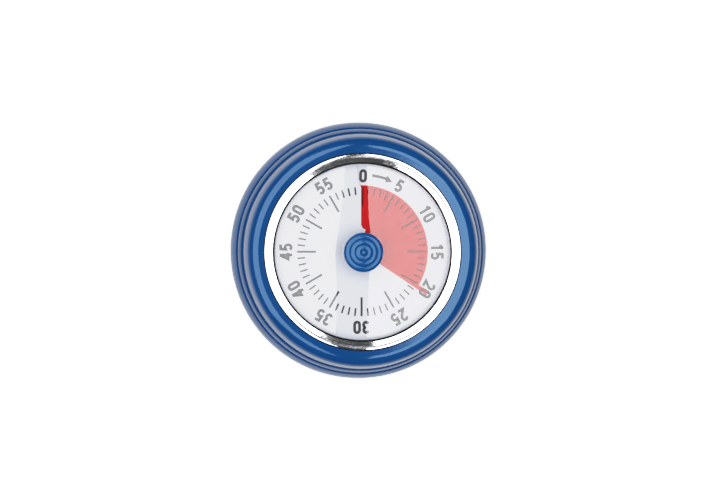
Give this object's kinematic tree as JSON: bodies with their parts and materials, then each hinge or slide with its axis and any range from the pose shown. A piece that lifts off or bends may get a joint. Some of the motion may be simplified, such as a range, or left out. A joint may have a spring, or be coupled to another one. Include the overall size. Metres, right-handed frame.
{
  "type": "kitchen timer",
  "caption": "Round wind-up kitchen timer: ribbed blue case, chrome bezel, white minute dial, rotating red film showing the time left, centre knob and magnetic back.",
  "frame": {"origin": "centre of the resting plane under the rubber foot ring, timer lying on its back", "axes": "+Z out of the dial along the knob's axis, +Y towards the dial's 0, +X towards its 15"},
  "size_m": [0.072, 0.072, 0.035],
  "materials": {
    "blue_enamel": "gloss enamel",
    "dark_plastic": "fine matte",
    "screw_steel": "zinc plated",
    "foot_rubber": "matte",
    "magnet_black": "matt ferrite",
    "cup_steel": "nickel plated",
    "bezel_chrome": "mirror polished",
    "clear_lens": "clear polished",
    "gasket_rubber": "matte",
    "blue_plastic": "gloss moulded",
    "dial_white": "printed satin white",
    "film_red": "translucent tinted film",
    "hub_plastic": "moulded",
    "plate_steel": "stamped",
    "wheel_brass": "turned",
    "pinion_steel": "turned",
    "drum_steel": "drawn",
    "spring_steel": "blued",
    "bell_steel": "nickel plated"
  },
  "bodies": {
    "case": {"housing": "blue_enamel", "rear_cover": "dark_plastic", "cover_screws": "screw_steel", "movement_screws": "screw_steel", "foot_ring": "foot_rubber", "magnet": "magnet_black", "magnet_cup": "cup_steel", "bezel": "bezel_chrome", "lens": "clear_lens", "lens_gasket": "gasket_rubber", "dial_face": "dial_white", "rear_plate": "plate_steel", "front_plate": "plate_steel", "pillars": "plate_steel", "pillar_nuts": "screw_steel", "bell": "bell_steel", "bell_post": "pinion_steel", "bell_screw": "screw_steel"},
    "winder": {"knob": "blue_plastic", "winding_arbor": "pinion_steel", "great_wheel": "wheel_brass", "ratchet_wheel": "pinion_steel", "click_pin": "pinion_steel", "click_spring": "spring_steel", "release_cam": "hub_plastic"},
    "film": {"red_film": "film_red", "film_hub": "hub_plastic"},
    "click": {"click": "pinion_steel"},
    "barrel": {"barrel_drum": "drum_steel", "barrel_lid": "drum_steel", "mainspring": "spring_steel"},
    "second_arbor": {"second_pinion": "pinion_steel", "second_wheel": "wheel_brass"},
    "third_arbor": {"third_pinion": "pinion_steel", "third_wheel": "wheel_brass"},
    "escape_arbor": {"escape_pinion": "pinion_steel", "escape_wheel": "hub_plastic"},
    "balance": {"verge": "pinion_steel", "balance_wheel": "wheel_brass"},
    "alarm_arbor": {"alarm_pinion": "pinion_steel", "star_wheel": "pinion_steel"},
    "hammer": {"hammer_arm": "plate_steel", "hammer_head": "pinion_steel"},
    "release": {"release_lever": "plate_steel"}
  },
  "joints": [
    {"name": "winding_turn", "type": "hinge", "parent": "case", "child": "winder", "pos_m": [0, 0, 0.0152], "axis": [0, 0, -1], "range_deg": [-120, 234], "deforming": ["mainspring"]},
    {"name": "film_lift", "type": "slide", "parent": "winder", "child": "film", "axis": [0, 0, 1], "range_m": [-0.0003333, 0.00065]},
    {"name": "second_turn", "type": "hinge", "parent": "case", "child": "second_arbor", "pos_m": [-0.01386, -0.008, 0.0152], "axis": [0, 0, -1], "range_deg": [-2106, 1080]},
    {"name": "third_turn", "type": "hinge", "parent": "case", "child": "third_arbor", "pos_m": [-0.00548, -0.01482, 0.0152], "axis": [0, 0, -1], "range_deg": [-8640, 16848]},
    {"name": "escape_turn", "type": "hinge", "parent": "case", "child": "escape_arbor", "pos_m": [0.00405, -0.01989, 0.0152], "axis": [0, 0, -1], "range_deg": [-134784, 69120]},
    {"name": "balance_swing", "type": "hinge", "parent": "case", "child": "balance", "pos_m": [0.01016, -0.01767, 0.0152], "axis": [0, 0, 1], "range_deg": [-5, 5]},
    {"name": "barrel_turn", "type": "hinge", "parent": "case", "child": "barrel", "pos_m": [0, 0, 0.013], "axis": [0, 0, -1], "range_deg": [0, 720], "deforming": ["mainspring"]},
    {"name": "alarm_turn", "type": "hinge", "parent": "case", "child": "alarm_arbor", "pos_m": [0.00547, 0.01504, 0.0152], "axis": [0, 0, -1], "range_deg": [-6480, 0]},
    {"name": "hammer_swing", "type": "hinge", "parent": "case", "child": "hammer", "pos_m": [0, 0.0242, 0.0152], "axis": [0, 0, 1], "range_deg": [-2, 6], "stiffness_Nm_per_rad": 0.002},
    {"name": "release_lift", "type": "hinge", "parent": "case", "child": "release", "pos_m": [0.01559, 0.009, 0.0152], "axis": [0, 0, -1], "range_deg": [0, 3], "stiffness_Nm_per_rad": 0.002},
    {"name": "click_lift", "type": "hinge", "parent": "winder", "child": "click", "pos_m": [0.0074, 0, 0.0167], "axis": [0, 0, -1], "range_deg": [0, 8], "stiffness_Nm_per_rad": 0.0002, "deforming": ["click_spring"]}
  ],
  "couplings": [
    {"joint": "film_lift", "follows": "winding_turn", "m_per_rad": 0.00015915},
    {"joint": "second_turn", "follows": "winding_turn", "ratio": -9},
    {"joint": "third_turn", "follows": "winding_turn", "ratio": 72},
    {"joint": "escape_turn", "follows": "winding_turn", "ratio": -576},
    {"joint": "alarm_turn", "follows": "barrel_turn", "ratio": -9}
  ]
}
